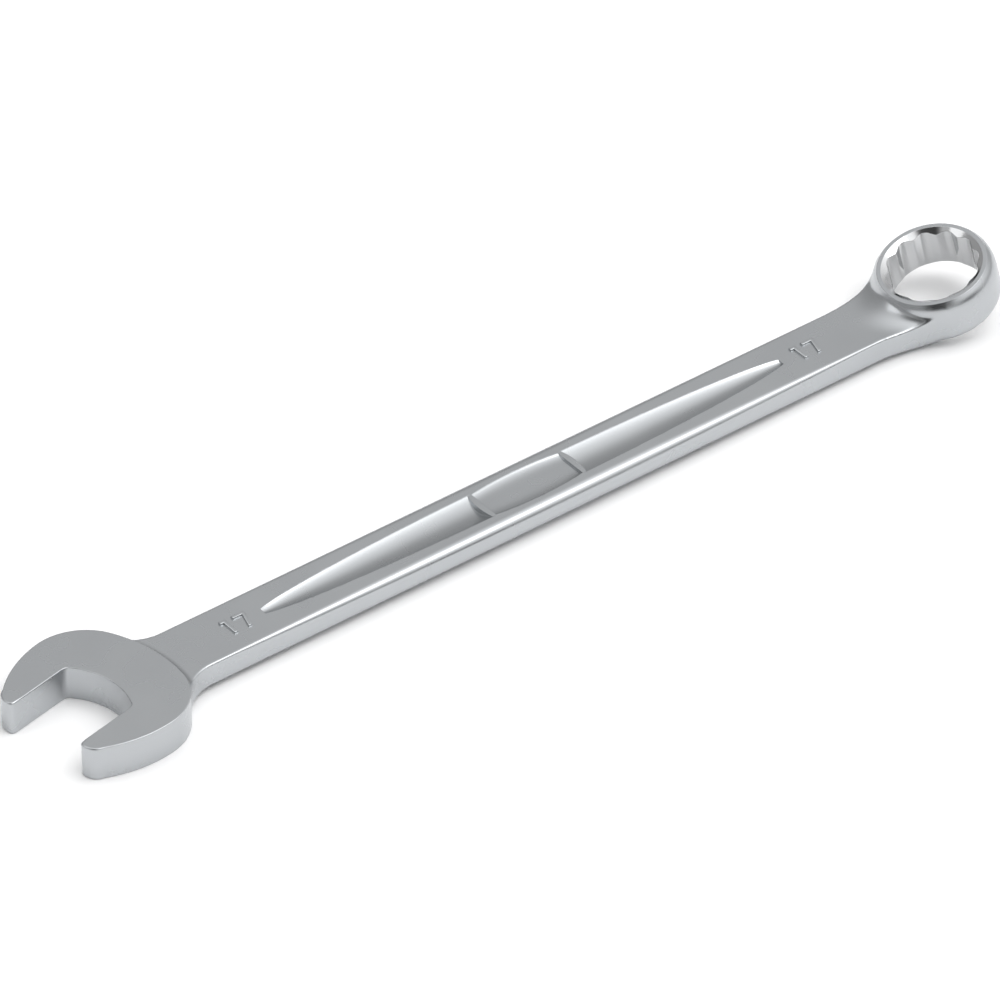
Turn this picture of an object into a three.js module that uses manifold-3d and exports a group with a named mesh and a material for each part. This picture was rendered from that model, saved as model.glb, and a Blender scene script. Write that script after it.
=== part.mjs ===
// A combination wrench for a 17 mm nut, forged and plated in one piece: a flat open end turned
// a little off the handle, a barrel-sided shank with a scooped channel on both faces, and a
// 12-point ring that leans back over the handle.
// Millimetres, +X from the open end to the ring, +Z up. The wrench lies on z = 0, on the flat
// of its open end and on the heel of its ring, centred on x = 0 and y = 0.

import * as THREE from 'three';
import { mergeVertices } from 'three/addons/utils/BufferGeometryUtils.js';
import Module from 'manifold-3d';

const wasm = await Module();
wasm.setup();

// ---- nut and overall layout
const nutSize = 17;
const nutClearance = 0.2;
const acrossFlats = nutSize + nutClearance;
const centreDistance = 203.7; // jaw centre to ring centre
const jawTurn = THREE.MathUtils.degToRad(11.3); // jaw axis off the handle's line
const ringTilt = THREE.MathUtils.degToRad(15);

// ---- open end, in the jaw's own frame: u runs out of the mouth, v across it
const headThickness = 7.4;
const cheekWidth = 8.9; // wall beside the nut, at its widest
const jawReach = 15.8; // jaw centre to the tips
const headBack = 13.4; // jaw centre to the back of the flat
const throatDepth = 1.5; // throat behind the jaw centre
const throatRadius = 14.8;
const throatCorner = 0.9;
const backRadius = 30;
const cheekRadius = 26;
const shoulderRadius = 12; // between the back and the cheek
const cheekCentre = -1;
const tipRound = 1.6;
const headEdge = 0.4;

// ---- shank
const shankThickness = 5.2;
const endHalfWidth = 6.9;
const midHalfWidth = 7.7;
const shankEdge = 1;
const nearNeckFillet = 10;
const farNeckFillet = 9.5;
const ringFillet = 30;

// ---- scooped channel and the plain plate at its middle
const channelFromJaw = 37.1; // jaw centre to the channel's near tip
const channelFromRing = 39.8; // ring centre to its far tip
const channelHalfWidth = 4.2;
const channelTipHalfWidth = 0.85;
const channelDepth = 1;
const plateHalfLength = 10.6;
const plateHalfWidth = 4.7;
const plateEndHalfWidth = 3.9;
const plateDepth = 0.6;
const plateRib = 0.7;
const plateRibRadius = 14;

// ---- ring end, in its own frame: z along the bore, 0 at the bore's middle
const cornerRounding = 0.28; // taken off each corner of the 12-point bore
const ringWall = 2.95;
const ringTop = 4.8;
const ringBottom = 5.3;
const ringShoulder = 3.3; // height of the rounded shoulder under the rim
const ringHeel = 2; // rounding under the ring
const countersinkLip = 0.65; // countersink beyond the bore's corners
const rimWidth = 0.75;
const countersinkDepth = 1.7;
const heelCountersinkDepth = 2.2;
const points = 12;

// ---- raised size numerals
const numeralHeight = 4.4;
const numeralStroke = 0.8;
const numeralRelief = 0.25;
const oneWidth = 1.5;
const sevenWidth = 2.9;
const numeralGap = 1.4;
const numeralFromJaw = 28.2; // jaw centre to the start of the number beside it
const numeralFromRing = 36.1; // start of the other number to the ring centre

const corner = acrossFlats / 2 / Math.cos(Math.PI / 6); // sharp corner of the bore's hexagons
const cornerRadius = corner - cornerRounding;
const countersinkRadius = cornerRadius + countersinkLip;
const ringRadius = cornerRadius + ringWall;
const midPlane = headThickness / 2;
const channelHalfLength = (centreDistance - channelFromJaw - channelFromRing) / 2;
const channelCentreX = channelFromJaw + channelHalfLength;
const margin = 1; // how far a cutter runs past what it cuts
const turnSegments = 64; // facets round a turned face
const arcSegments = 6; // along a short arc
const longArcSegments = 9;
const barrelSegments = 14;
const spindleSteps = 6; // from a spindle's middle to its end

// The ring's height follows from its heel resting on the same plane as the open end.
const ringCentreZ =
  (ringRadius - ringHeel) * Math.sin(ringTilt) + (ringBottom - ringHeel) * Math.cos(ringTilt) + ringHeel;

// A closed three.js geometry as a solid.
function solid(geometry) {
  const bare = geometry.index ? geometry.toNonIndexed() : geometry.clone();
  bare.deleteAttribute('normal');
  bare.deleteAttribute('uv');
  const merged = mergeVertices(bare, 1e-5);
  return new wasm.Manifold(
    new wasm.Mesh({
      numProp: 3,
      vertProperties: Float32Array.from(merged.attributes.position.array),
      triVerts: Uint32Array.from(merged.index.array),
    }),
  );
}

// A flat outline raised from z = low to z = high, with rounded edges where edge is over 0.
function slab(shape, low, high, edge = 0, edgeSegments = 3) {
  const geometry = new THREE.ExtrudeGeometry(shape, {
    depth: high - low - 2 * edge,
    bevelEnabled: edge > 0,
    bevelThickness: edge,
    bevelSize: edge,
    bevelOffset: -edge,
    bevelSegments: edgeSegments,
    curveSegments: 12,
  });
  return geometry.translate(0, 0, low + edge);
}

// Points along an arc from one angle to another.
function arc(x, y, radius, from, to, segments) {
  const at = (i) => from + ((to - from) * i) / segments;
  return Array.from(
    { length: segments + 1 },
    (_, i) => new THREE.Vector2(x + radius * Math.cos(at(i)), y + radius * Math.sin(at(i))),
  );
}

const mirrored = (outline) => outline.map((p) => new THREE.Vector2(p.x, -p.y)).reverse();
const angleTo = (from, to) => Math.atan2(to.y - from.y, to.x - from.x);

// ---- open end

// Centre of the shoulder arc, which touches the back arc and the cheek arc from inside.
function shoulderCentre() {
  const back = new THREE.Vector2(backRadius - headBack, 0);
  const cheek = new THREE.Vector2(cheekCentre, acrossFlats / 2 + cheekWidth - cheekRadius);
  const fromBack = backRadius - shoulderRadius;
  const fromCheek = cheekRadius - shoulderRadius;
  const span = back.distanceTo(cheek);
  const along = (span ** 2 + fromBack ** 2 - fromCheek ** 2) / (2 * span);
  const across = Math.sqrt(fromBack ** 2 - along ** 2);
  const axis = cheek.clone().sub(back).normalize();
  const side = new THREE.Vector2(axis.y, -axis.x);
  return { back, cheek, centre: back.clone().addScaledVector(axis, along).addScaledVector(side, across) };
}

function headShape() {
  const gap = acrossFlats / 2;
  const { back, cheek, centre } = shoulderCentre();
  const backEnd = angleTo(back, centre);
  const cheekEnd = angleTo(cheek, centre);
  const tipStart = Math.acos((jawReach - tipRound - cheek.x) / cheekRadius);
  const tipV = cheek.y + cheekRadius * Math.sin(tipStart) - tipRound / 2;

  // One half, from the back of the head round to the tip, then in along the jaw to the throat.
  const half = [
    ...arc(back.x, back.y, backRadius, Math.PI, backEnd, arcSegments),
    ...arc(centre.x, centre.y, shoulderRadius, backEnd, cheekEnd, longArcSegments).slice(1),
    ...arc(cheek.x, cheek.y, cheekRadius, cheekEnd, tipStart, longArcSegments).slice(1),
  ];
  const tip = new THREE.Path();
  tip.moveTo(half.at(-1).x, half.at(-1).y);
  tip.quadraticCurveTo(jawReach, tipV, jawReach, tipV - tipRound);
  tip.lineTo(jawReach, gap + tipRound / 2);
  tip.quadraticCurveTo(jawReach, gap, jawReach - tipRound / 2, gap);
  const throatX = throatRadius - throatDepth;
  const throatAngle = Math.PI - Math.asin((gap - throatCorner) / throatRadius);
  const throatStart = throatX + throatRadius * Math.cos(throatAngle);
  tip.lineTo(throatStart + 2 * throatCorner, gap);
  tip.quadraticCurveTo(throatStart + throatCorner / 3, gap, throatStart, gap - throatCorner);
  half.push(...tip.getPoints(4).slice(1));
  half.push(...arc(throatX, 0, throatRadius, throatAngle, Math.PI, arcSegments).slice(1));
  return new THREE.Shape([...half, ...mirrored(half).slice(1, -1)]);
}

function openEnd() {
  const plate = slab(headShape(), 0, headThickness, headEdge, 2);
  return solid(plate.rotateZ(Math.PI + jawTurn));
}

// ---- shank

// Where a neck fillet lies: it touches the head's shoulder arc and the side of the shank.
// side is +1 on the far side, toward +Y, and -1 on the near side.
function neckArc(side, fillet) {
  const { centre } = shoulderCentre();
  const shoulder = new THREE.Vector2(centre.x, -side * centre.y);
  shoulder.rotateAround(new THREE.Vector2(), Math.PI + jawTurn);
  const y = side * (endHalfWidth + fillet);
  const reach = shoulderRadius + fillet;
  const middle = new THREE.Vector2(shoulder.x + Math.sqrt(reach ** 2 - (y - shoulder.y) ** 2), y);
  return arc(middle.x, middle.y, fillet, angleTo(middle, shoulder), (-side * Math.PI) / 2, longArcSegments);
}

// The flare from a side of the given half width into the ring, on the +Y side. It ends inside
// the ring's wall.
function ringFlare(halfWidth) {
  const y = halfWidth + ringFillet;
  const reach = ringRadius + ringFillet;
  const x = centreDistance - Math.sqrt(reach ** 2 - y ** 2);
  const flare = arc(x, y, ringFillet, -Math.PI / 2, Math.atan2(-y, centreDistance - x), longArcSegments);
  return [...flare, new THREE.Vector2(centreDistance, flare.at(-1).y)];
}

function barrelSide(from, to) {
  const side = new THREE.Path();
  side.moveTo(from.x, from.y);
  side.quadraticCurveTo(
    (from.x + to.x) / 2,
    Math.sign(from.y) * (2 * midHalfWidth - endHalfWidth),
    to.x,
    to.y,
  );
  return side.getPoints(barrelSegments).slice(1, -1);
}

function shank() {
  const far = neckArc(1, farNeckFillet);
  const near = neckArc(-1, nearNeckFillet);
  const flare = ringFlare(endHalfWidth);
  const nearFlare = flare.map((p) => new THREE.Vector2(p.x, -p.y));
  const insideHead = headBack / 2;
  const outline = [
    new THREE.Vector2(insideHead, far[0].y),
    new THREE.Vector2(insideHead, near[0].y),
    ...near,
    ...barrelSide(near.at(-1), nearFlare[0]),
    ...nearFlare,
    ...flare.slice().reverse(),
    ...barrelSide(flare[0], far.at(-1)),
    ...far.slice().reverse(),
  ];
  const low = midPlane - shankThickness / 2;
  return solid(slab(new THREE.Shape(outline), low, low + shankThickness, shankEdge));
}

// The neck that lifts the shank's top face to the rim and lowers its underside to the heel.
function ringNeck() {
  const flare = ringFlare(endHalfWidth - shankEdge);
  const plan = new THREE.Shape([...flare, ...mirrored(flare)]);
  const start = flare[0].x;
  const end = flare.at(-2).x;
  const high = midPlane + shankThickness / 2;
  const low = midPlane - shankThickness / 2;
  const rimX = centreDistance - ringRadius * Math.cos(ringTilt);
  const rimZ = ringCentreZ - ringRadius * Math.sin(ringTilt) + ringTop * Math.cos(ringTilt);
  const heelZ = ringHeel / 2;
  const side = new THREE.Shape();
  side.moveTo(start, low + shankEdge);
  side.quadraticCurveTo((start + rimX) / 2, low, rimX, heelZ);
  side.lineTo(end, heelZ);
  side.lineTo(end, rimZ - rimWidth);
  side.lineTo(rimX, rimZ - rimWidth);
  side.quadraticCurveTo((start + rimX) / 2, high, start, high - shankEdge);
  const width = 2 * ringRadius;
  const profile = slab(side, -width, width);
  return solid(slab(plan, 0, ringCentreZ + ringTop)).intersect(solid(profile.rotateX(Math.PI / 2)));
}

// ---- ring end

const tiltRing = (geometry) => geometry.rotateY(-ringTilt).translate(centreDistance, 0, ringCentreZ);
const lathe = (outline) => new THREE.LatheGeometry(outline, turnSegments).rotateX(Math.PI / 2);

function ringDrum() {
  const rim = countersinkRadius + rimWidth;
  const outline = new THREE.Path();
  outline.moveTo(0, -ringBottom);
  outline.lineTo(ringRadius - ringHeel, -ringBottom);
  outline.absarc(ringRadius - ringHeel, ringHeel - ringBottom, ringHeel, -Math.PI / 2, 0);
  outline.lineTo(ringRadius, ringTop - ringShoulder);
  outline.quadraticCurveTo(ringRadius, ringTop - ringShoulder / 4, rim, ringTop);
  outline.lineTo(0, ringTop);
  return solid(tiltRing(lathe(outline.getPoints(5))));
}

// Two hexagons turned half a step apart, with their corners rounded off.
function boreShape() {
  const tooth = acrossFlats / 2 / Math.cos(Math.PI / points);
  const cut = (corner - cornerRadius) / (corner - tooth);
  const step = (2 * Math.PI) / points;
  const at = (radius, angle) => new THREE.Vector2(radius * Math.cos(angle), radius * Math.sin(angle));
  const outline = [];
  for (let i = 0; i < points; i += 1) {
    const peak = at(corner, i * step);
    const before = at(tooth, (i - 0.5) * step);
    const after = at(tooth, (i + 0.5) * step);
    outline.push(peak.clone().lerp(before, cut), peak.clone().lerp(after, cut), after);
  }
  return new THREE.Shape(outline);
}

// The space under the ring's lower face, which the handle stays out of.
function underRing() {
  const disc = new THREE.CylinderGeometry(2 * ringRadius, 2 * ringRadius, ringBottom, turnSegments);
  return solid(tiltRing(disc.rotateX(Math.PI / 2).translate(0, 0, -1.5 * ringBottom)));
}

function countersink(face, depth, direction) {
  const throat = acrossFlats / 2;
  const slope = (countersinkRadius - throat) / depth;
  const wide = countersinkRadius + slope * margin;
  const outline = [
    new THREE.Vector2(0, direction * (face - depth)),
    new THREE.Vector2(throat, direction * (face - depth)),
    new THREE.Vector2(wide, direction * (face + margin)),
    new THREE.Vector2(0, direction * (face + margin)),
  ];
  if (direction < 0) outline.reverse();
  return solid(tiltRing(lathe(outline)));
}

// ---- channel and plate

// A long spindle lying above the shank: what it sweeps is a scoop with blunt ends.
function spindle(halfLength, halfWidth, tipHalfWidth, depth) {
  const height = (halfWidth ** 2 - depth ** 2) / (2 * depth); // axis above the face
  const outline = [new THREE.Vector2(0, -halfLength)];
  for (let i = -spindleSteps; i <= spindleSteps; i += 1) {
    const t = i / spindleSteps;
    const half = Math.sqrt(tipHalfWidth ** 2 + (halfWidth ** 2 - tipHalfWidth ** 2) * (1 - t ** 2));
    outline.push(new THREE.Vector2(Math.hypot(height, half), t * halfLength));
  }
  outline.push(new THREE.Vector2(0, halfLength));
  const body = new THREE.LatheGeometry(outline, 1.5 * turnSegments).rotateZ(-Math.PI / 2);
  return solid(body.translate(channelCentreX, 0, midPlane + shankThickness / 2 + height));
}

// The stretch that the plate takes up, with bowed ends, grown or shrunk by a margin.
function plateBlock(grow) {
  const end = plateHalfLength + grow;
  const reach = plateHalfWidth + margin;
  const bow = Math.sqrt(plateRibRadius ** 2 - reach ** 2) - plateRibRadius;
  const right = new THREE.Path();
  right.moveTo(end + bow, -reach);
  right.quadraticCurveTo(end - bow, 0, end + bow, reach);
  const half = right.getPoints(arcSegments);
  const left = half.map((p) => new THREE.Vector2(-p.x, p.y)).reverse();
  const block = slab(new THREE.Shape([...half, ...left]), midPlane, headThickness + margin);
  return solid(block.translate(channelCentreX, 0, 0));
}

function channelCutter() {
  const scoops = spindle(channelHalfLength, channelHalfWidth, channelTipHalfWidth, channelDepth);
  const plate = spindle(plateHalfLength, plateHalfWidth, plateEndHalfWidth, plateDepth);
  return scoops
    .subtract(plateBlock(plateRib / 2))
    .add(plate.intersect(plateBlock(-plateRib / 2)));
}

// ---- numerals

function numeralOne() {
  const foot = oneWidth - numeralStroke;
  const shape = new THREE.Shape();
  shape.moveTo(foot, 0);
  shape.lineTo(oneWidth, 0);
  shape.lineTo(oneWidth, numeralHeight);
  shape.lineTo(0, numeralHeight);
  shape.lineTo(0, numeralHeight - numeralStroke);
  shape.lineTo(foot, numeralHeight - numeralStroke);
  return shape;
}

function numeralSeven() {
  const foot = sevenWidth / 2 - numeralStroke / 2;
  const shape = new THREE.Shape();
  shape.moveTo(foot, 0);
  shape.lineTo(foot + numeralStroke, 0);
  shape.lineTo(sevenWidth, numeralHeight - numeralStroke);
  shape.lineTo(sevenWidth, numeralHeight);
  shape.lineTo(0, numeralHeight);
  shape.lineTo(0, numeralHeight - numeralStroke);
  shape.lineTo(sevenWidth - numeralStroke, numeralHeight - numeralStroke);
  return shape;
}

function numberSeventeen(x) {
  const face = midPlane + shankThickness / 2;
  const low = face - margin;
  const high = face + numeralRelief;
  const y = -numeralHeight / 2;
  const one = slab(numeralOne(), low, high).translate(x, y, 0);
  const seven = slab(numeralSeven(), low, high).translate(x + oneWidth + numeralGap, y, 0);
  return solid(one).add(solid(seven));
}

// ---- the forging

// A cutter made for the top face, turned over for the underside.
function underside(cutter) {
  const over = new THREE.Matrix4().makeRotationX(Math.PI).setPosition(0, 0, headThickness);
  return solid(toGeometry(cutter).applyMatrix4(over));
}

function toGeometry(manifold) {
  const mesh = manifold.getMesh();
  const geometry = new THREE.BufferGeometry();
  geometry.setAttribute('position', new THREE.BufferAttribute(mesh.vertProperties, 3));
  geometry.setIndex(new THREE.BufferAttribute(mesh.triVerts, 1));
  return geometry;
}

function forging() {
  const bore = solid(tiltRing(slab(boreShape(), -ringBottom - margin, ringTop + margin)));
  const channel = channelCutter();
  return openEnd()
    .add(shank().add(ringNeck()).subtract(underRing()))
    .add(ringDrum())
    .subtract(bore)
    .subtract(countersink(ringTop, countersinkDepth, 1))
    .subtract(countersink(ringBottom, heelCountersinkDepth, -1))
    .subtract(channel)
    .subtract(underside(channel))
    .add(numberSeventeen(numeralFromJaw))
    .add(numberSeventeen(centreDistance - numeralFromRing));
}

const chrome = new THREE.MeshStandardMaterial({ color: 0xb4b9bd, roughness: 0.35, metalness: 1 });
const body = toGeometry(forging());
body.computeBoundingBox();
const middle = body.boundingBox.getCenter(new THREE.Vector3());
body.translate(-middle.x, -middle.y, -body.boundingBox.min.z);
body.computeVertexNormals();

const wrench = new THREE.Mesh(body, chrome);
wrench.name = 'wrench_body';

const group = new THREE.Group();
group.add(wrench);

export default group;
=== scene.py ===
import math

import bpy
from mathutils import Euler, Matrix, Vector


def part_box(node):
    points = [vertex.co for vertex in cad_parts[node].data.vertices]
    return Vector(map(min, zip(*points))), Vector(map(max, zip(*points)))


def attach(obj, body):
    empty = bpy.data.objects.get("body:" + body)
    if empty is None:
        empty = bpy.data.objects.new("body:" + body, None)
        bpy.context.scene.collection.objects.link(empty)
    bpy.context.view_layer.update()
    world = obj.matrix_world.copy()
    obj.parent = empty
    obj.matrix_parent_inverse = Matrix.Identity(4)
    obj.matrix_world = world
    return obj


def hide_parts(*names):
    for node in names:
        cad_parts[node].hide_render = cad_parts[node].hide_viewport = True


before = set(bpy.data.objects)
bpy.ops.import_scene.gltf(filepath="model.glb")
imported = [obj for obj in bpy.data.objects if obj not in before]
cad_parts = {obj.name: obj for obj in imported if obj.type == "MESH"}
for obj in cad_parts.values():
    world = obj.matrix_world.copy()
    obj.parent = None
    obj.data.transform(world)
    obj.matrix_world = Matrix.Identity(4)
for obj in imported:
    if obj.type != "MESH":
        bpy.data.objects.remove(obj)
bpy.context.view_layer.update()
print("frame loaded")

# The wrench is modelled in millimetres: x along the handle from the jaw's centre, z = 0 on the
# middle plane. The last step sets it down in the frame, in metres.
low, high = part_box("wrench_body")
millimetre = 0.001

layout = {
    "tipToJaw": 17.54,  # end of the open end to the jaw's centre
    "jawToRing": 203.7,
    "headThickness": 7.4,
    "acrossFlats": 17.2,
    "jawTurn": 11.3,
    "ringTilt": 15,
    "ringLift": 4.231,  # ring's middle above the middle plane
    "smoothAngle": 32,  # edges under this many degrees are shaded smooth
}
halfHead = layout["headThickness"] / 2


def deselectAll():
    if bpy.context.object and bpy.context.object.mode != "OBJECT":
        bpy.ops.object.mode_set(mode="OBJECT")
    bpy.ops.object.select_all(action="DESELECT")


def activate(piece):
    deselectAll()
    piece.select_set(True)
    bpy.context.view_layer.objects.active = piece


def selectEdges(piece, wanted):
    # wanted is given the two ends of each edge
    bpy.ops.object.mode_set(mode="EDIT")
    bpy.ops.mesh.select_mode(type="EDGE")
    bpy.ops.mesh.select_all(action="DESELECT")
    bpy.ops.object.mode_set(mode="OBJECT")
    vertices = piece.data.vertices
    for edge in piece.data.edges:
        edge.select = wanted(*(vertices[i].co for i in edge.vertices))
    bpy.ops.object.mode_set(mode="EDIT")


def arc(x, y, radius, start, end, steps):
    angles = [start + (end - start) * i / steps for i in range(steps + 1)]
    return [(x + radius * math.cos(a), y + radius * math.sin(a)) for a in angles]


def curve(a, b, c, steps):
    # a rounded corner from a to c that leans toward b
    ts = [i / steps for i in range(steps + 1)]
    return [
        tuple((1 - t) ** 2 * p + 2 * t * (1 - t) * q + t * t * r for p, q, r in zip(a, b, c))
        for t in ts
    ]


def plateFrom(name, outline, bottom, top, material):
    # A ring of vertices is laid on the outline, filled, and pulled up to a plate.
    deselectAll()
    bpy.ops.mesh.primitive_circle_add(vertices=len(outline), radius=1, fill_type="NGON")
    piece = bpy.context.object
    piece.name = name
    for vertex, (x, y) in zip(piece.data.vertices, outline):
        vertex.co = (x, y, bottom)
    bpy.ops.object.mode_set(mode="EDIT")
    bpy.ops.mesh.select_all(action="SELECT")
    bpy.ops.mesh.extrude_region_move(TRANSFORM_OT_translate={"value": (0, 0, top - bottom)})
    bpy.ops.mesh.select_all(action="SELECT")
    bpy.ops.mesh.normals_make_consistent(inside=False)
    bpy.ops.object.mode_set(mode="OBJECT")
    piece.data.materials.append(material)
    return piece


def roundRim(piece, width, segments, wanted):
    activate(piece)
    selectEdges(piece, wanted)
    bpy.ops.mesh.bevel(offset=width, offset_type="OFFSET", segments=segments, affect="EDGES")
    bpy.ops.object.mode_set(mode="OBJECT")


def wrapGrid(name, columns, rows, place, material):
    # A grid is laid round as a closed skin: rows run round it, columns run along it, and both
    # ends are capped.
    deselectAll()
    bpy.ops.mesh.primitive_grid_add(x_subdivisions=columns, y_subdivisions=rows, size=2)
    piece = bpy.context.object
    piece.name = name
    for vertex in piece.data.vertices:
        along, around = (vertex.co.x + 1) / 2, (vertex.co.y + 1) / 2
        vertex.co = place(along, around)
    bpy.ops.object.mode_set(mode="EDIT")
    bpy.ops.mesh.select_all(action="SELECT")
    bpy.ops.mesh.remove_doubles(threshold=1e-4)
    bpy.ops.mesh.select_mode(type="EDGE")
    bpy.ops.mesh.select_all(action="DESELECT")
    bpy.ops.mesh.select_non_manifold(extend=False)
    bpy.ops.mesh.edge_face_add()
    bpy.ops.mesh.select_all(action="SELECT")
    bpy.ops.mesh.normals_make_consistent(inside=False)
    bpy.ops.object.mode_set(mode="OBJECT")
    piece.data.materials.append(material)
    return piece


def combine(piece, other, operation):
    # the second piece is used up
    activate(piece)
    step = piece.modifiers.new(operation.lower(), "BOOLEAN")
    step.object = other
    step.operation = operation
    step.solver = "EXACT"
    step.material_mode = "TRANSFER"
    bpy.ops.object.modifier_apply(modifier=step.name)
    bpy.data.objects.remove(other)


def applied(piece, kind, **settings):
    # adds a modifier and applies it
    activate(piece)
    step = piece.modifiers.new(kind.lower(), kind)
    for key, value in settings.items():
        setattr(step, key, value)
    bpy.ops.object.modifier_apply(modifier=step.name)


def duplicate(piece):
    copy = piece.copy()
    copy.data = piece.data.copy()
    bpy.context.collection.objects.link(copy)
    return copy


def addGroup(piece, name, weightOf):
    group = piece.vertex_groups.new(name=name)
    for vertex in piece.data.vertices:
        weight = weightOf(vertex.co.x)
        if weight > 0:
            group.add([vertex.index], weight, "REPLACE")


def turned(piece, degrees, axis):
    piece.data.transform(Matrix.Rotation(math.radians(degrees), 4, axis))


def shifted(piece, x, y, z):
    piece.data.transform(Matrix.Translation((x, y, z)))


plating = {
    "cloudDetail": 4,
    "grainDetail": 3,
    "cloudRange": (0.3, 0.7),  # part of the cloud noise that spans smoothest to roughest
    "edgeSamples": 6,
}


def chromeFinish(name, values):
    material = bpy.data.materials.new(name)
    material.use_nodes = True
    nodes, links = material.node_tree.nodes, material.node_tree.links
    shader = nodes["Principled BSDF"]
    shader.inputs["Metallic"].default_value = 1
    place = nodes.new("ShaderNodeTexCoord")

    # faint cloudiness of the plating, in its tone and its roughness
    cloud = nodes.new("ShaderNodeTexNoise")
    cloud.inputs["Scale"].default_value = values["cloudScale"]
    cloud.inputs["Detail"].default_value = plating["cloudDetail"]
    links.new(place.outputs["Object"], cloud.inputs["Vector"])
    tint = nodes.new("ShaderNodeMix")
    tint.data_type = "RGBA"
    tint.inputs[6].default_value = values["darkTint"]
    tint.inputs[7].default_value = values["lightTint"]
    links.new(cloud.outputs["Fac"], tint.inputs["Factor"])
    links.new(tint.outputs[2], shader.inputs["Base Color"])

    rough = nodes.new("ShaderNodeMapRange")
    rough.inputs["From Min"].default_value = plating["cloudRange"][0]
    rough.inputs["From Max"].default_value = plating["cloudRange"][1]
    rough.inputs["To Min"].default_value = values["smoothest"]
    rough.inputs["To Max"].default_value = values["roughest"]
    links.new(cloud.outputs["Fac"], rough.inputs["Value"])
    links.new(rough.outputs["Result"], shader.inputs["Roughness"])

    # fine grain under the chrome, over slightly rounded arrises
    grain = nodes.new("ShaderNodeTexNoise")
    grain.inputs["Scale"].default_value = values["grainScale"]
    grain.inputs["Detail"].default_value = plating["grainDetail"]
    links.new(place.outputs["Object"], grain.inputs["Vector"])
    edge = nodes.new("ShaderNodeBevel")
    edge.samples = plating["edgeSamples"]
    edge.inputs["Radius"].default_value = values["edgeRadius"]
    bump = nodes.new("ShaderNodeBump")
    bump.inputs["Strength"].default_value = values["grainStrength"]
    bump.inputs["Distance"].default_value = values["grainDepth"]
    links.new(grain.outputs["Fac"], bump.inputs["Height"])
    links.new(edge.outputs["Normal"], bump.inputs["Normal"])
    links.new(bump.outputs["Normal"], shader.inputs["Normal"])
    return material


satin = chromeFinish("satinChrome", {
    "cloudScale": 60,
    "darkTint": (0.475, 0.492, 0.507, 1),
    "lightTint": (0.515, 0.531, 0.546, 1),
    "grainScale": 2200,
    "smoothest": 0.24,
    "roughest": 0.31,
    "grainStrength": 0.012,
    "grainDepth": 0.00003,
    "edgeRadius": 0.00012,
})
polished = chromeFinish("polishedChrome", {
    "cloudScale": 90,
    "darkTint": (0.58, 0.59, 0.60, 1),
    "lightTint": (0.64, 0.645, 0.65, 1),
    "grainScale": 2500,
    "smoothest": 0.07,
    "roughest": 0.13,
    "grainStrength": 0.05,
    "grainDepth": 0.00003,
    "edgeRadius": 0.00015,
})
print("finishes ready")

shank = {
    "faceSteps": 42,  # divisions across a face, round an edge and down a side
    "edgeSteps": 8,
    "sideSteps": 6,
    "headStep": 0.3,  # spacing of the cross-sections, finer by the head and in the neck
    "shankStep": 1.2,
    "neckStep": 0.4,
    "insideHead": 6.7,  # first cross-section
    "headEnd": 30,  # the wider spacing starts here
    "neckStart": 183,  # the neck and ring go on from here as one eased skin
    "neckOverlap": 6,
    "joinOverlap": 0.03,
    "insideRing": 203,
    "insideWall": 0.04,  # the sides end this far inside the ring's wall
    "endHalfWidth": 6.9,
    "midHalfWidth": 7.7,
    "endHalfThickness": 2.5,
    "midHalfThickness": 2.65,
    "middle": 103,
    "halfSpan": 78,
    "endEdge": 0.45,  # rounding along the long edges
    "midEdge": 1.9,
    "farFillet": 9.5,
    "nearFillet": 10,
    "farRingFillet": 38,
    "nearRingFillet": 30,
    "neckBlend": (11.15, 9.5, 2.2),  # to the rim, on the middle line: root, length, hollowness
    "neckSideBlend": (10.4, 8.4, 3),  # and at the sides
    "neckAside": 9.5,  # the sides start this far from the middle line
    "neckSink": 0.05,  # top of the blend below the rim
    "heelBlend": (12, 9, 2.2),
    "heelSink": 0.5,
    "lowest": -3.55,  # the underside of the neck stays clear of the bench
    "shoulderEdge": 4.3,  # rounding where the sides become the ring
    "shoulderSpan": (193, 202),  # where it grows to that
    "heelEdge": 2.2,
    "heelSpan": (183, 195),
    "leanSpan": (183, 197),  # where the sides take up the ring's lean
    "headFillet": 1.5,  # blend from the top face up to the head
    "headRise": 0.75,  # and how far up it goes
}
head = {
    "cheekWidth": 8.9,
    "jawReach": 15.8,
    "headBack": 13.4,
    "throatDepth": 1.5,
    "throatRadius": 14.8,
    "throatCorner": 0.9,
    "backRadius": 30,
    "cheekRadius": 26,
    "shoulderRadius": 12,
    "cheekCentre": -1,
    "tipRound": 2.4,
    "innerTipRound": 1.2,
    "edge": 0.36,
    "tipEdge": 0.85,
    "tipZone": 3,  # the wider rounding starts this far from the jaw's end
    "tipFade": 2.4,
    "edgeSegments": 5,
    "backSteps": 16,
    "arcSteps": 24,
    "throatSteps": 20,
    "cornerSteps": 8,
    "innerTipSteps": 6,
}
ring = {
    "cornerRounding": 0.28,
    "wall": 2.95,
    "top": 4.8,
    "bottom": 5.3,
    "shoulder": 4.2,
    "shoulderSteps": 12,
    "heel": 2,
    "heelSteps": 10,
    "rimSpare": 0.5,  # left over the rim, to be cut flat
    "rimInset": 0.1,
    "lip": 0.65,
    "rimWidth": 0.75,
    "countersinkDepth": 1.15,
    "heelCountersinkDepth": 1.9,
    "points": 12,
    "cornerBlend": 0.6,  # how far a bore corner leans back from its sharp peak
    "cornerTail": 0.15,
    "cornerSteps": 6,
    "toothFlat": 0.12,
    "steps": 192,  # divisions round a turned face
    "spare": 1,  # how far a cutter runs past what it cuts
}
gap = layout["acrossFlats"] / 2
corner = gap / math.cos(math.pi / 6)
cornerRadius = corner - ring["cornerRounding"]
ringRadius = cornerRadius + ring["wall"]
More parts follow.
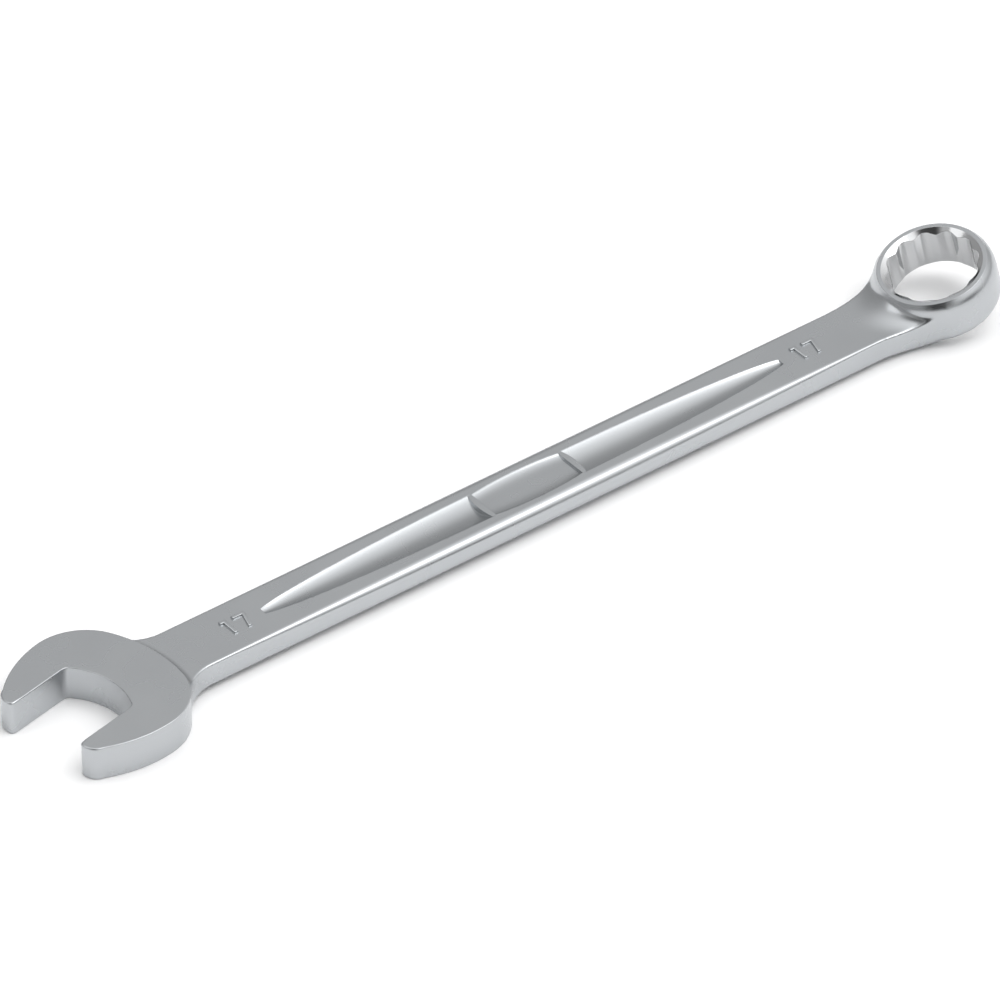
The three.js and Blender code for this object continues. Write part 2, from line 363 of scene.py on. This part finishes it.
countersinkRadius = cornerRadius + ring["lip"]
rim = countersinkRadius + ring["rimWidth"]
ringX = layout["jawToRing"]


def shoulderCentre():
    # centre of the arc that joins the head's back to its cheek
    back = Vector((head["backRadius"] - head["headBack"], 0))
    cheek = Vector((head["cheekCentre"], gap + head["cheekWidth"] - head["cheekRadius"]))
    fromBack = head["backRadius"] - head["shoulderRadius"]
    fromCheek = head["cheekRadius"] - head["shoulderRadius"]
    span = (cheek - back).length
    along = (span**2 + fromBack**2 - fromCheek**2) / (2 * span)
    across = math.sqrt(fromBack**2 - along**2)
    axis = (cheek - back).normalized()
    return back, cheek, back + axis * along + Vector((axis.y, -axis.x)) * across


def neckFillet(side, fillet):
    # middle of the fillet between the head's shoulder and a side of the shank, and where it starts
    centre = shoulderCentre()[2]
    turn = math.pi + math.radians(layout["jawTurn"])
    x, y = centre.x, -side * centre.y
    shoulder = Vector((
        x * math.cos(turn) - y * math.sin(turn),
        x * math.sin(turn) + y * math.cos(turn),
    ))
    across = side * (shank["endHalfWidth"] + fillet)
    reach = head["shoulderRadius"] + fillet
    middle = Vector((shoulder.x + math.sqrt(reach**2 - (across - shoulder.y) ** 2), across))
    start = middle + (shoulder - middle).normalized() * fillet
    return middle, start


necks = {
    1: (*neckFillet(1, shank["farFillet"]), shank["farFillet"]),
    -1: (*neckFillet(-1, shank["nearFillet"]), shank["nearFillet"]),
}


def ringFlare(fillet):
    # middle of the fillet between a side and the ring, where it ends, and its radius
    flareY = shank["endHalfWidth"] + fillet
    flareX = ringX - math.sqrt((ringRadius + fillet) ** 2 - flareY**2)
    return flareX, flareY, ringX - (ringX - flareX) * ringRadius / (ringRadius + fillet), fillet


flares = {1: ringFlare(shank["farRingFillet"]), -1: ringFlare(shank["nearRingFillet"])}


def swell(x):
    # 1 at the middle of the shank, 0 at its ends
    return max(0, 1 - ((x - shank["middle"]) / shank["halfSpan"]) ** 2)


def halfWidth(x, side):
    middle, start, fillet = necks[side]
    if x < start.x:
        return abs(start.y)
    if x < middle.x:
        return abs(middle.y) - math.sqrt(fillet**2 - (x - middle.x) ** 2)
    flareX, flareY, flareEnd, ringFillet = flares[side]
    if x > flareEnd:
        return math.sqrt((ringRadius - shank["insideWall"]) ** 2 - (x - ringX) ** 2)
    if x > flareX:
        return flareY - math.sqrt(ringFillet**2 - (x - flareX) ** 2)
    return shank["endHalfWidth"] + (shank["midHalfWidth"] - shank["endHalfWidth"]) * swell(x)


def ringPlane(x, z):
    # height of one of the ring's faces over the middle plane, z up its bore
    tilt = math.radians(layout["ringTilt"])
    along = (x - ringX + z * math.sin(tilt)) / math.cos(tilt)
    return layout["ringLift"] + along * math.sin(tilt) + z * math.cos(tilt)


def smooth(t):
    t = min(1, max(0, t))
    return t * t * (3 - 2 * t)


def fromHead(x, y):
    # distance from the head's back and shoulders
    turn = -math.pi - math.radians(layout["jawTurn"])
    u = x * math.cos(turn) - y * math.sin(turn)
    v = abs(x * math.sin(turn) + y * math.cos(turn))
    back, cheek, centre = shoulderCentre()
    shoulder = Vector((centre.x, abs(centre.y)))
    onBack = math.atan2(v, back.x - u) < math.atan2(shoulder.y, back.x - shoulder.x)
    if onBack:
        return math.hypot(u - back.x, v) - head["backRadius"]
    return math.hypot(u - shoulder.x, v - shoulder.y) - head["shoulderRadius"]


def headRise(x, y):
    fillet = shank["headFillet"]
    away = fromHead(x, y)
    if x > 2 * head["headBack"] or away >= fillet:
        return 0
    rise = fillet - math.sqrt(fillet**2 - (fillet - max(away, 0)) ** 2)
    return min(rise, shank["headRise"])


def faceHeight(x):
    end, middle = shank["endHalfThickness"], shank["midHalfThickness"]
    return end + (middle - end) * swell(x)


def neckBlend(x, y, root, length, hollow):
    # 0 on the open face, 1 at the ring
    t = (root + length - math.hypot(x - ringX, y)) / length
    return min(1, max(0, t)) ** hollow


def topHeight(x, y):
    face = faceHeight(x)
    if x < shank["middle"]:
        return face + headRise(x, y)
    aside = smooth(abs(y) / shank["neckAside"])
    blend = [a + (b - a) * aside for a, b in zip(shank["neckBlend"], shank["neckSideBlend"])]
    rise = max(0, ringPlane(x, ring["top"]) - shank["neckSink"] - face)
    return face + rise * neckBlend(x, y, *blend)


def bottomHeight(x, y):
    face = faceHeight(x)
    if x < shank["middle"]:
        return -face - headRise(x, y)
    drop = ringPlane(x, -ring["bottom"]) + shank["heelSink"] + face
    return max(-face + drop * neckBlend(x, y, *shank["heelBlend"]), shank["lowest"])


# divisions of a cross-section: face, edge, side, edge, then the same again underneath
sectionSteps = [shank["faceSteps"], shank["edgeSteps"], shank["sideSteps"], shank["edgeSteps"]]
stepsAround = 2 * sum(sectionSteps)


def sectionPart(around):
    # which of the eight parts a point is on, and how far along it
    t = around
    for index in range(8):
        span = sectionSteps[index % 4] / stepsAround
        if t <= span + 1e-6 or index == 7:
            return index, min(1, t / span)
        t -= span


def reached(x, span):
    # 0 before a stretch of the handle, 1 after it
    return smooth((x - span[0]) / (span[1] - span[0]))


def shankSection(x, around):
    # once round: across the top from far to near, down the near side, back under, up the far side
    edge = shank["endEdge"] + (shank["midEdge"] - shank["endEdge"]) * swell(x)
    topEdge = edge + (shank["shoulderEdge"] - edge) * reached(x, shank["shoulderSpan"])
    heelEdge = edge + (shank["heelEdge"] - edge) * reached(x, shank["heelSpan"])
    far, near = halfWidth(x, 1), halfWidth(x, -1)
    index, t = sectionPart(around)
    if index in (0, 4):
        soft = topEdge if index == 0 else heelEdge
        y = far - soft - (far + near - 2 * soft) * (t if index == 0 else 1 - t)
        z = topHeight(x, y) if index == 0 else bottomHeight(x, y)
    elif index in (2, 6):
        side = -1 if index == 2 else 1
        wide = near if index == 2 else far
        start = topHeight(x, side * (wide - topEdge)) - topEdge
        end = bottomHeight(x, side * (wide - heelEdge)) + heelEdge
        y, z = side * wide, start + (end - start) * (t if index == 2 else 1 - t)
    else:
        side = -1 if index in (1, 3) else 1
        wide = near if side < 0 else far
        under = index in (3, 5)
        soft = heelEdge if under else topEdge
        bend = (t if index in (1, 5) else 1 - t) * math.pi / 2
        y = side * (wide - soft + soft * math.sin(bend))
        drop = soft * (1 - math.cos(bend))
        face = (bottomHeight if under else topHeight)(x, side * (wide - soft))
        z = face + drop if under else face - drop
    # the sides lean with the ring as they reach it
    lean = math.tan(math.radians(layout["ringTilt"])) * reached(x, shank["leanSpan"])
    return x - (z - layout["ringLift"]) * lean, y, z


def shankPart(name, stops):
    # stops are the places of its cross-sections
    count = len(stops) - 1

    def place(along, around):
        return shankSection(stops[round(along * count)], around)

    return wrapGrid(name, count, stepsAround, place, satin)


def evenly(start, end, step):
    count = max(1, round((end - start) / step))
    return [start + (end - start) * i / count for i in range(count + 1)]


headStops = evenly(shank["insideHead"], shank["headEnd"], shank["headStep"])
shankEnd = shank["neckStart"] + shank["joinOverlap"]
shankStops = evenly(shank["headEnd"], shankEnd, shank["shankStep"])[1:]
body = shankPart("wrench", headStops + shankStops)
neckFrom = shank["neckStart"] - shank["neckOverlap"]
neck = shankPart("neck", evenly(neckFrom, shank["insideRing"], shank["neckStep"]))
print("shank and neck")


def tiltRing(piece):
    turned(piece, -layout["ringTilt"], "Y")
    shifted(piece, ringX, 0, layout["ringLift"])


def lathe(name, profile, steps, material):
    count = len(profile) - 1

    def place(along, around):
        radius, z = profile[round(along * count)]
        angle = around * 2 * math.pi
        return radius * math.cos(angle), radius * math.sin(angle), z

    return wrapGrid(name, count, steps, place, material)


heelAt = ringRadius - ring["heel"]
drumProfile = [
    *arc(heelAt, ring["heel"] - ring["bottom"], ring["heel"], -math.pi / 2, 0, ring["heelSteps"]),
    *curve(
        (ringRadius, ring["top"] - ring["shoulder"]),
        (ringRadius, ring["top"] - ring["shoulder"] / 4),
        (rim, ring["top"]),
        ring["shoulderSteps"],
    ),
    (rim - ring["rimInset"], ring["top"] + ring["rimSpare"]),
]
drum = lathe("drum", drumProfile, ring["steps"], satin)
tiltRing(drum)
neckForm = duplicate(neck)
combine(neck, drum, "UNION")

# one even skin over the neck and ring, eased where the ring runs into the handle
skin = {
    "voxel": 0.25,
    "easing": 0.5,
    "passes": 26,
    "easedSpan": (188, 193),  # where the easing sets in
    "trueSpan": (184.5, 188),  # where the true form of the handle lets go
    "joinBand": 0.2,
    "joinMerge": 0.12,
    "joinTrim": 0.02,
}
applied(neck, "REMESH", mode="VOXEL", voxel_size=skin["voxel"])
addGroup(neck, "eased", lambda x: reached(x, skin["easedSpan"]))
applied(neck, "SMOOTH", factor=skin["easing"], iterations=skin["passes"], vertex_group="eased")

# the part next to the shank is laid back on its true form
addGroup(neck, "true", lambda x: 1 - reached(x, skin["trueSpan"]))
applied(neck, "SHRINKWRAP", target=neckForm, wrap_method="NEAREST_SURFACEPOINT",
        vertex_group="true")
bpy.data.objects.remove(neckForm)
neck.vertex_groups.clear()
activate(neck)
bpy.ops.object.mode_set(mode="EDIT")
bpy.ops.mesh.select_all(action="SELECT")
bpy.ops.mesh.bisect(plane_co=(shank["neckStart"], 0, 0), plane_no=(1, 0, 0),
                    use_fill=True, clear_inner=True)
bpy.ops.object.mode_set(mode="OBJECT")
neck.data.materials.clear()
neck.data.materials.append(satin)
print("neck and ring skin", len(neck.data.polygons))


def rimCutter():
    height = 8
    deselectAll()
    bpy.ops.mesh.primitive_cylinder_add(vertices=ring["steps"] // 2, radius=2 * ringRadius,
                                        depth=height, location=(0, 0, 0))
    piece = bpy.context.object
    piece.name = "rimCut"
    shifted(piece, 0, 0, ring["top"] + height / 2)
    piece.data.materials.append(satin)
    tiltRing(piece)
    return piece


def countersink(name, face, depth, direction):
    wide = countersinkRadius + ring["spare"] * (countersinkRadius - gap) / depth
    profile = [(gap, direction * (face - depth)), (wide, direction * (face + ring["spare"]))]
    piece = lathe(name, profile, ring["steps"], polished)
    tiltRing(piece)
    return piece


def boreOutline():
    # rounded corners with a tooth after each
    tooth = gap / math.cos(math.pi / ring["points"])
    cut = (corner - cornerRadius) / (corner - tooth)
    step = 2 * math.pi / ring["points"]
    tail, steps = ring["cornerTail"], ring["cornerSteps"]

    def spoke(turns, radius):
        return Vector((math.cos(turns * step), math.sin(turns * step))) * radius

    outline = []
    for i in range(ring["points"]):
        peak, before, after = spoke(i, corner), spoke(i - 0.5, tooth), spoke(i + 0.5, tooth)
        start, end = peak.lerp(before, cut), peak.lerp(after, cut)
        middle = peak.lerp((start + end) / 2, ring["cornerBlend"])
        outline += curve(start.lerp(before, tail), middle, end.lerp(after, tail), steps)
        outline += [tuple(after.lerp(end, ring["toothFlat"])), tuple(after)]
    return outline


# machined faces of the ring: the rim cut flat, the countersinks, then the bore
combine(neck, rimCutter(), "DIFFERENCE")
for name, face, depth, direction in (
    ("countersink", ring["top"], ring["countersinkDepth"], 1),
    ("heelCountersink", ring["bottom"], ring["heelCountersinkDepth"], -1),
):
    combine(neck, countersink(name, face, depth, direction), "DIFFERENCE")
bore = plateFrom("bore", boreOutline(), -ring["bottom"] - ring["spare"],
                 ring["top"] + ring["spare"], polished)
tiltRing(bore)
combine(neck, bore, "DIFFERENCE")
print("bore cut")

channel = {
    "fromJaw": 37.1,
    "fromRing": 39.8,
    "halfWidth": 4.2,
    "tipHalfWidth": 0.85,
    "depth": 1,
    "tipDepth": 0.35,
    "flatness": 2,  # of the floor: higher is flatter, with steeper sides
    "plateHalfLength": 10.6,
    "plateHalfWidth": 4.7,
    "plateEndHalfWidth": 3.9,
    "plateDepth": 0.55,
    "plateEndDepth": 0.9,  # share of the plate's depth left at its ends
    "plateFlatness": 5,
    "plateEndSlope": -0.5,
    "rib": 0.5,
    "ribRadius": 14,
    "ribSlope": 0.7,
    "ribSteps": 12,
    "step": 0.7,  # spacing of a cutter's cross-sections
    "floorRows": 36,
    "rows": 40,
    "overhang": 1.15,  # a cutter's width over the face, as a share of its floor
    "spare": 1,  # and its height
    "blockSpare": 1.2,
}
channelHalf = (ringX - channel["fromJaw"] - channel["fromRing"]) / 2
channelX = channel["fromJaw"] + channelHalf


def scoop(name, halfLength, halfWidth, tipHalfWidth, depth, tipDepth, flatness):
    # a trough cutter: its floor is curved across and gets shallower toward its ends
    stops = evenly(channelX - halfLength, channelX + halfLength, channel["step"])
    count = len(stops) - 1
    rows, floorRows = channel["rows"], channel["floorRows"]

    def place(along, around):
        x = stops[round(along * count)]
        t = (x - channelX) / halfLength
        full = max(0, 1 - t * t)  # 1 in the middle, 0 at the tips
        wide = math.sqrt(tipHalfWidth**2 + (halfWidth**2 - tipHalfWidth**2) * full)
        deep = tipDepth + (depth - tipDepth) * math.sqrt(full)
        row = round(around * rows)
        if floorRows < row < rows:
            # three rows back over the top, clear of the face
            across = 1 - (around - (floorRows + 1) / rows) / (1 / rows)
            return x, across * wide * channel["overhang"], faceHeight(x) + channel["spare"]
        # the last row meets the first
        across = min(1, around / (floorRows / rows)) * 2 - 1 if row < rows else -1
        return x, across * wide, faceHeight(x) - deep * (1 - abs(across) ** flatness)

    return wrapGrid(name, count, rows, place, satin)


def plateBlock(name, grow, slope):
    # its ends lean out by slope for each millimetre down from the face
    end = channel["plateHalfLength"] + grow
    reach = channel["plateHalfWidth"] + channel["spare"]
    bow = math.sqrt(channel["ribRadius"] ** 2 - reach**2) - channel["ribRadius"]
    right = curve((end + bow, -reach), (end - bow, 0), (end + bow, reach), channel["ribSteps"])
    left = [(-x, -y) for x, y in right]
    top = shank["midHalfThickness"] + channel["blockSpare"]
    piece = plateFrom(name, right + left, 0, top, satin)
    for vertex in piece.data.vertices:
        lean = slope * (shank["midHalfThickness"] - vertex.co.z)
        vertex.co.x += math.copysign(lean, vertex.co.x)
    shifted(piece, channelX, 0, 0)
    return piece


scoops = scoop("scoops", channelHalf, channel["halfWidth"], channel["tipHalfWidth"],
               channel["depth"], channel["tipDepth"], channel["flatness"])
combine(scoops, plateBlock("ribs", channel["rib"] / 2, channel["ribSlope"]), "DIFFERENCE")
panel = scoop("panel", channel["plateHalfLength"], channel["plateHalfWidth"],
              channel["plateEndHalfWidth"], channel["plateDepth"],
              channel["plateDepth"] * channel["plateEndDepth"], channel["plateFlatness"])
combine(panel, plateBlock("panelEnds", -channel["rib"] / 2, channel["plateEndSlope"]), "INTERSECT")
for cutter in (scoops, panel):
    under = duplicate(cutter)  # the underside has the same channel
    turned(under, 180, "X")
    combine(body, cutter, "DIFFERENCE")
    combine(body, under, "DIFFERENCE")
print("channels scooped")


def headOutline():
    back, cheek, centre = shoulderCentre()
    backEnd = math.atan2(centre.y - back.y, centre.x - back.x)
    cheekEnd = math.atan2(centre.y - cheek.y, centre.x - cheek.x)
    reach, tipRound, soft = head["jawReach"], head["tipRound"], head["throatCorner"]
    inner, corners = head["innerTipRound"], head["cornerSteps"]
    tipStart = math.acos((reach - tipRound - cheek.x) / head["cheekRadius"])
    tipY = cheek.y + head["cheekRadius"] * math.sin(tipStart) - tipRound / 3
    throatX = head["throatRadius"] - head["throatDepth"]
    throatAngle = math.pi - math.asin((gap - soft) / head["throatRadius"])
    throatStart = throatX + head["throatRadius"] * math.cos(throatAngle)
    half = [
        *arc(*back, head["backRadius"], math.pi, backEnd, head["backSteps"]),
        *arc(*centre, head["shoulderRadius"], backEnd, cheekEnd, head["arcSteps"])[1:],
        *arc(*cheek, head["cheekRadius"], cheekEnd, tipStart, head["arcSteps"])[1:],
    ]
    half += curve(half[-1], (reach, tipY), (reach, tipY - tipRound), corners)[1:]
    half += curve((reach, gap + inner), (reach, gap), (reach - inner, gap), head["innerTipSteps"])
    half += curve((throatStart + 2 * soft, gap), (throatStart + soft / 3, gap),
                  (throatStart, gap - soft), corners)
    half += arc(throatX, 0, head["throatRadius"], throatAngle, math.pi, head["throatSteps"])[1:]
    return half + [(x, -y) for x, y in reversed(half[1:-1])]


openEnd = plateFrom("openEnd", headOutline(), -halfHead, halfHead, satin)

# the arrises are rounded, more so at the jaw's tips
weights = openEnd.data.attributes.new("bevel_weight_edge", "FLOAT", "EDGE")
for edge in openEnd.data.edges:
    a, b = (openEnd.data.vertices[i].co for i in edge.vertices)
    if abs(a.z - b.z) < 1e-4:
        inZone = (a.x + b.x) / 2 - head["jawReach"] + head["tipZone"]
        width = head["edge"] + (head["tipEdge"] - head["edge"]) * smooth(inZone / head["tipFade"])
        weights.data[edge.index].value = width / head["tipEdge"]
applied(openEnd, "BEVEL", width=head["tipEdge"], segments=head["edgeSegments"],
        limit_method="WEIGHT")
turned(openEnd, 180 + layout["jawTurn"], "Z")
combine(body, openEnd, "UNION")
combine(body, neck, "UNION")

# slivers along the joint between shank and neck are merged away
activate(body)
bpy.ops.object.mode_set(mode="EDIT")
bpy.ops.mesh.select_mode(type="VERT")
bpy.ops.mesh.select_all(action="DESELECT")
bpy.ops.object.mode_set(mode="OBJECT")
for vertex in body.data.vertices:
    vertex.select = abs(vertex.co.x - shank["neckStart"]) < skin["joinBand"]
bpy.ops.object.mode_set(mode="EDIT")
bpy.ops.mesh.remove_doubles(threshold=skin["joinMerge"])
bpy.ops.mesh.dissolve_degenerate(threshold=skin["joinTrim"])
bpy.ops.object.mode_set(mode="OBJECT")
print("open end and ring joined")

number = {
    "height": 4.4,
    "stroke": 0.8,
    "relief": 0.45,
    "root": 0.5,  # how far it goes into the shank
    "edge": 0.2,
    "edgeSegments": 3,
    "oneWidth": 1.5,
    "sevenWidth": 2.9,
    "gap": 1.4,
    "fromJaw": 28.2,
    "fromRing": 36.1,
}


def numeral(name, outline, x):
    face = shank["endHalfThickness"]
    piece = plateFrom(name, outline, face - number["root"], face + number["relief"], satin)
    roundRim(piece, number["edge"], number["edgeSegments"],
             lambda a, b: a.z > face and b.z > face)
    shifted(piece, x, -number["height"] / 2, 0)
    return piece


def seventeen(x):
    tall, stroke, wide = number["height"], number["stroke"], number["oneWidth"]
    foot = wide - stroke
    one = [(foot, 0), (wide, 0), (wide, tall), (0, tall), (0, tall - stroke),
           (foot, tall - stroke)]
    wide = number["sevenWidth"]
    foot = wide / 2 - stroke / 2
    seven = [(foot, 0), (foot + stroke, 0), (wide, tall - stroke), (wide, tall), (0, tall),
             (0, tall - stroke), (wide - stroke, tall - stroke)]
    combine(body, numeral("one", one, x), "UNION")
    combine(body, numeral("seven", seven, x + number["oneWidth"] + number["gap"]), "UNION")


seventeen(number["fromJaw"])
seventeen(ringX - number["fromRing"])
print("numerals raised")

# set down in the frame
activate(body)
body.data.transform(Matrix.Scale(millimetre, 4))
shifted(body, low.x + layout["tipToJaw"] * millimetre, (low.y + high.y) / 2,
        low.z + halfHead * millimetre)
bpy.ops.object.shade_smooth_by_angle(angle=math.radians(layout["smoothAngle"]))
applied(body, "WEIGHTED_NORMAL", mode="FACE_AREA", keep_sharp=True)
print("wrench", len(body.data.polygons), "faces")

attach(body, "root")
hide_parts("wrench_body")

studio = {
    "floorSize": 6,
    "floorTone": (0.97, 0.97, 0.973, 1),
    "floorRoughness": 0.9,
    "sky": 1.95,
    "brightWay": (0.25, -0.3, 0.92),
    # place along the way from opposite to full, and how bright
    "skyTones": [(0, 0.18), (1, 0.84), (0.5, 0.22), (0.69, 0.27), (0.8, 0.4), (0.92, 0.66)],
    # direction, where it is darkest and where it ends in degrees, how dark
    "gaps": [
        ((-0.47, -0.2, 0.86), 10, 20, 0.08),
        ((-0.62, -0.66, 0.42), 14, 27, 0.06),
        ((0.3, -0.95, 0.03), 10, 25, 0.3),
    ],
    # place, size and power
    "keyLight": ((0.5, -0.5, 1.3), 0.9, 4),
    "sideLight": ((-0.9, 0.5, 1.1), 0.7, 1.5),
    "floorLight": ((0, 0, 1.6), 1.6, 5),
}
deselectAll()
bpy.ops.mesh.primitive_plane_add(size=studio["floorSize"], location=(0, 0, low.z))
floor = bpy.context.object
floor.name = "floor"
paper = bpy.data.materials.new("paper")
paper.use_nodes = True
paperShader = paper.node_tree.nodes["Principled BSDF"]
paperShader.inputs["Base Color"].default_value = studio["floorTone"]
paperShader.inputs["Roughness"].default_value = studio["floorRoughness"]
floor.data.materials.append(paper)

world = bpy.data.worlds.new("studio")
bpy.context.scene.world = world
world.use_nodes = True
sky, skyLinks = world.node_tree.nodes, world.node_tree.links
direction = sky.new("ShaderNodeTexCoord")


def toward(way):
    # cosine of the angle from one direction
    dot = sky.new("ShaderNodeVectorMath")
    dot.operation = "DOT_PRODUCT"
    dot.inputs[1].default_value = Vector(way).normalized()
    skyLinks.new(direction.outputs["Generated"], dot.inputs[0])
    return dot.outputs["Value"]


# bright overhead and toward the front, dimmer toward the back
spread = sky.new("ShaderNodeMapRange")
spread.inputs["From Min"].default_value = -1
skyLinks.new(toward(studio["brightWay"]), spread.inputs["Value"])
ramp = sky.new("ShaderNodeValToRGB")
ramp.color_ramp.interpolation = "B_SPLINE"
stops = ramp.color_ramp.elements
for place, tone in studio["skyTones"][:2]:
    stop = stops[0 if place == 0 else 1]
    stop.position = place
    stop.color = (tone, tone, tone, 1)
for place, tone in studio["skyTones"][2:]:
    stops.new(place).color = (tone, tone, tone, 1)
skyLinks.new(spread.outputs["Result"], ramp.inputs["Fac"])

# dark gaps between the lamps, which give the polished faces their black glints
tone = ramp.outputs["Color"]
for way, inner, outer, dark in studio["gaps"]:
    gapRange = sky.new("ShaderNodeMapRange")
    gapRange.interpolation_type = "SMOOTHSTEP"
    gapRange.inputs["From Min"].default_value = math.cos(math.radians(outer))
    gapRange.inputs["From Max"].default_value = math.cos(math.radians(inner))
    gapRange.inputs["To Min"].default_value = 1
    gapRange.inputs["To Max"].default_value = dark
    skyLinks.new(toward(way), gapRange.inputs["Value"])
    dim = sky.new("ShaderNodeMix")
    dim.data_type = "RGBA"
    dim.blend_type = "MULTIPLY"
    dim.inputs["Factor"].default_value = 1
    skyLinks.new(tone, dim.inputs[6])
    skyLinks.new(gapRange.outputs["Result"], dim.inputs[7])
    tone = dim.outputs[2]
skyLinks.new(tone, sky["Background"].inputs["Color"])
sky["Background"].inputs["Strength"].default_value = studio["sky"]


def softBox(name):
    place, size, power = studio[name]
    deselectAll()
    bpy.ops.object.light_add(type="AREA", location=place)
    box = bpy.context.object
    box.name = name
    box.data.shape = "RECTANGLE"
    box.data.size = box.data.size_y = size
    box.data.energy = power
    box.rotation_euler = (-Vector(place)).to_track_quat("-Z", "Y").to_euler()
    return box


softBox("keyLight")
softBox("sideLight")
fill = softBox("floorLight")
fill.visible_glossy = False  # lights the paper, and isn't seen in the chrome

bpy.context.scene.view_settings.view_transform = "Standard"

view = {
    "from": (-0.748947, -0.959905, 0.952609),
    "angles": (52.0403, 0.1940, -37.8997),
    "lens": 288,
}
deselectAll()
angles = Euler([math.radians(a) for a in view["angles"]])
bpy.ops.object.camera_add(location=view["from"], rotation=angles)
camera = bpy.context.object
camera.data.lens = view["lens"]
bpy.context.scene.camera = camera
print("studio ready")
